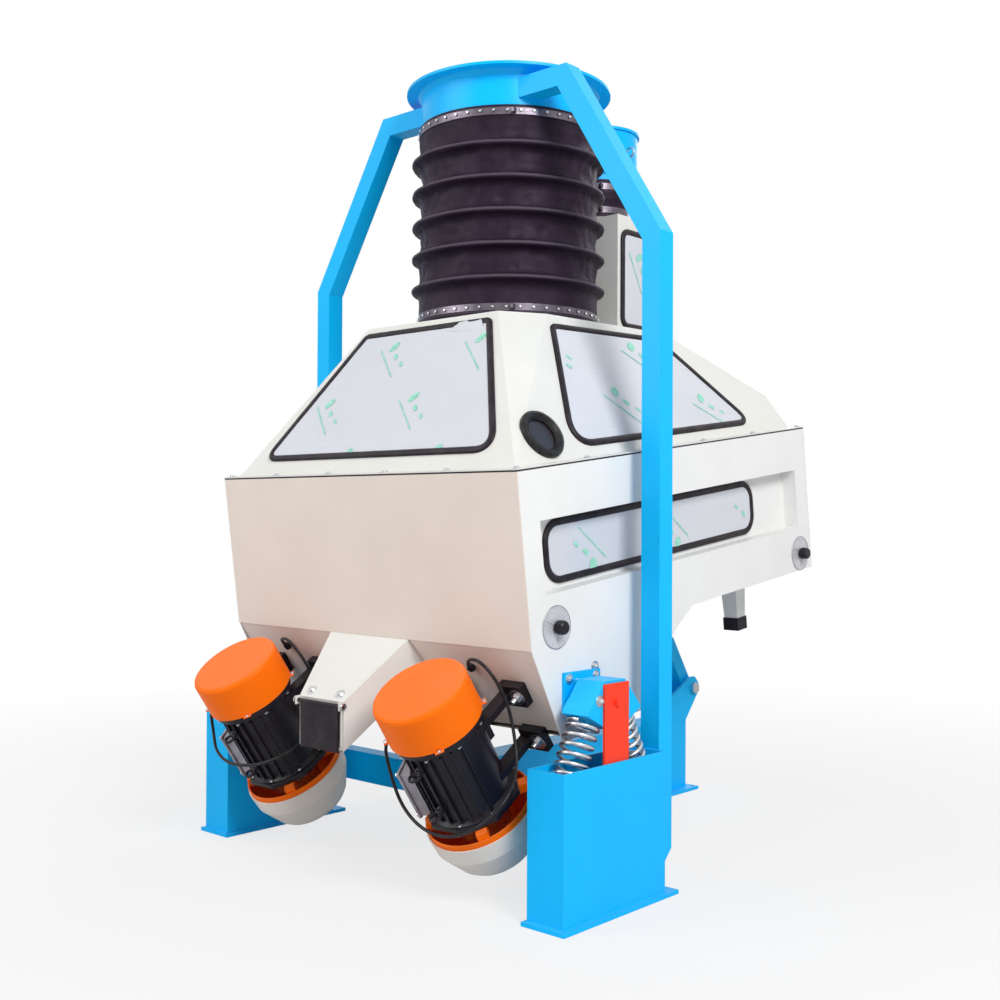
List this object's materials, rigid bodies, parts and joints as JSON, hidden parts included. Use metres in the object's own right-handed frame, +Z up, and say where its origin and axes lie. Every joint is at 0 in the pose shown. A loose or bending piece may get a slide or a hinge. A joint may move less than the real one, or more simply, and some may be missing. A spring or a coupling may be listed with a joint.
{
  "type": "gravity destoner",
  "caption": "Suction gravity destoner: tilted vibrating sieve box with windowed hood, bellows duct, two vibrating motors, spring pedestals and arch frame.",
  "frame": {"origin": "on the floor under the middle of the machine's bounding box", "axes": "+Z up, +Y from the motors and product chute towards the stone end, +X to the right for someone who looks along +Y"},
  "size_m": [1.392, 1.7704, 2.186],
  "materials": {
    "frame_paint": "satin azure paint",
    "panel_paint": "satin warm off-white paint",
    "hood_paint": "satin white paint",
    "black_rubber": "dull black rubber",
    "film_glass": "clear sheet under a matt film",
    "cap_paint": "satin orange paint",
    "motor_paint": "black enamel",
    "guard_paint": "satin off-white paint",
    "zinc_steel": "zinc-plated steel",
    "lock_paint": "red paint",
    "lamp_glass": "clear lamp glass",
    "knob_plastic": "black plastic",
    "dial_metal": "brushed aluminium",
    "deck_wood": "planed wood frame",
    "grey_cover": "bare cast cover"
  },
  "bodies": {
    "stand": {"pedestal_left": "frame_paint", "pedestal_right": "frame_paint", "cross_beam": "frame_paint", "centre_beam": "frame_paint", "rear_leg": "frame_paint", "pivot_pin": "zinc_steel", "arch_post_left": "frame_paint", "arch_post_right": "frame_paint", "suction_spout": "frame_paint", "feed_spout": "frame_paint", "springs_left": "zinc_steel", "springs_right": "zinc_steel", "main_bellows": "black_rubber", "feed_sleeve": "black_rubber", "clamps_fixed": "zinc_steel"},
    "sieve_box": {"end_panel": "panel_paint", "rear_panel": "panel_paint", "side_panel_left": "panel_paint", "side_panel_right": "panel_paint", "motor_plate": "panel_paint", "keel_pan": "panel_paint", "air_plate": "panel_paint", "upper_screen": "deck_wood", "lower_deck": "deck_wood", "hood_gasket": "black_rubber", "hood_shell": "hood_paint", "hood_window_seals": "black_rubber", "hood_windows": "film_glass", "side_window_seals": "black_rubber", "side_windows": "film_glass", "lamp_bezel": "knob_plastic", "lamp_lens": "lamp_glass", "feed_hopper": "hood_paint", "product_chute": "panel_paint", "stone_spout": "panel_paint", "stone_sleeve": "black_rubber", "rear_hanger": "panel_paint", "dial_plates": "dial_metal", "spring_brackets": "frame_paint", "transport_locks": "lock_paint", "motor_lower_caps": "cap_paint", "motor_guards": "guard_paint", "terminal_boxes": "grey_cover", "motor_cables": "black_rubber", "motor_body_left": "motor_paint", "motor_body_right": "motor_paint", "motor_cap_left": "cap_paint", "motor_cap_right": "cap_paint", "clamps_moving": "zinc_steel"},
    "rocker": {"rocker_arm": "frame_paint"},
    "rotor_left": {"motor_rotor_left": "zinc_steel"},
    "rotor_right": {"motor_rotor_right": "zinc_steel"},
    "flap": {"outlet_flap": "black_rubber"},
    "gate": {"feed_gate": "zinc_steel"},
    "knob_front_left": {"knob_front_left": "knob_plastic"},
    "knob_front_right": {"knob_front_right": "knob_plastic"},
    "knob_rear_left": {"knob_rear_left": "knob_plastic"},
    "knob_rear_right": {"knob_rear_right": "knob_plastic"}
  },
  "joints": [
    {"name": "box_throw", "type": "slide", "parent": "stand", "child": "sieve_box", "axis": [0, 0.83, 0.5577], "range_m": [-0.004, 0.004], "stiffness_N_per_m": 1200000, "springref_m": 0.0022, "deforming": ["springs_left", "springs_right", "main_bellows", "feed_sleeve"]},
    {"name": "rocker_swing", "type": "hinge", "parent": "stand", "child": "rocker", "pos_m": [0, 0.84725, 0.345], "axis": [1, 0, 0], "range_deg": [-0.6, 0.6]},
    {"name": "rotor_left_spin", "type": "hinge", "parent": "sieve_box", "child": "rotor_left", "pos_m": [-0.361, -0.66263, 0.34751], "axis": [0, -0.5577, 0.83], "continuous": true},
    {"name": "rotor_right_spin", "type": "hinge", "parent": "sieve_box", "child": "rotor_right", "pos_m": [0.361, -0.66263, 0.34751], "axis": [0, -0.5577, 0.83], "continuous": true},
    {"name": "flap_swing", "type": "hinge", "parent": "sieve_box", "child": "flap", "pos_m": [0, -0.78637, 0.46521], "axis": [-1, 0, 0], "range_deg": [0, 40]},
    {"name": "gate_swing", "type": "hinge", "parent": "sieve_box", "child": "gate", "pos_m": [0, 0.26425, 1.48], "axis": [1, 0, 0], "range_deg": [-20, 24]},
    {"name": "knob_front_left_turn", "type": "hinge", "parent": "sieve_box", "child": "knob_front_left", "pos_m": [-0.565, -0.5315, 0.6768], "axis": [1, 0, 0], "range_deg": [-60, 60]},
    {"name": "knob_rear_left_turn", "type": "hinge", "parent": "sieve_box", "child": "knob_rear_left", "pos_m": [-0.565, 0.65058, 0.83032], "axis": [1, 0, 0], "range_deg": [-60, 60]},
    {"name": "knob_front_right_turn", "type": "hinge", "parent": "sieve_box", "child": "knob_front_right", "pos_m": [0.565, -0.5315, 0.6768], "axis": [1, 0, 0], "range_deg": [-60, 60]},
    {"name": "knob_rear_right_turn", "type": "hinge", "parent": "sieve_box", "child": "knob_rear_right", "pos_m": [0.565, 0.65058, 0.83032], "axis": [1, 0, 0], "range_deg": [-60, 60]}
  ],
  "couplings": [
    {"joint": "rocker_swing", "follows": "box_throw", "rad_per_m": -2.5},
    {"joint": "rotor_right_spin", "follows": "rotor_left_spin", "ratio": -1}
  ]
}
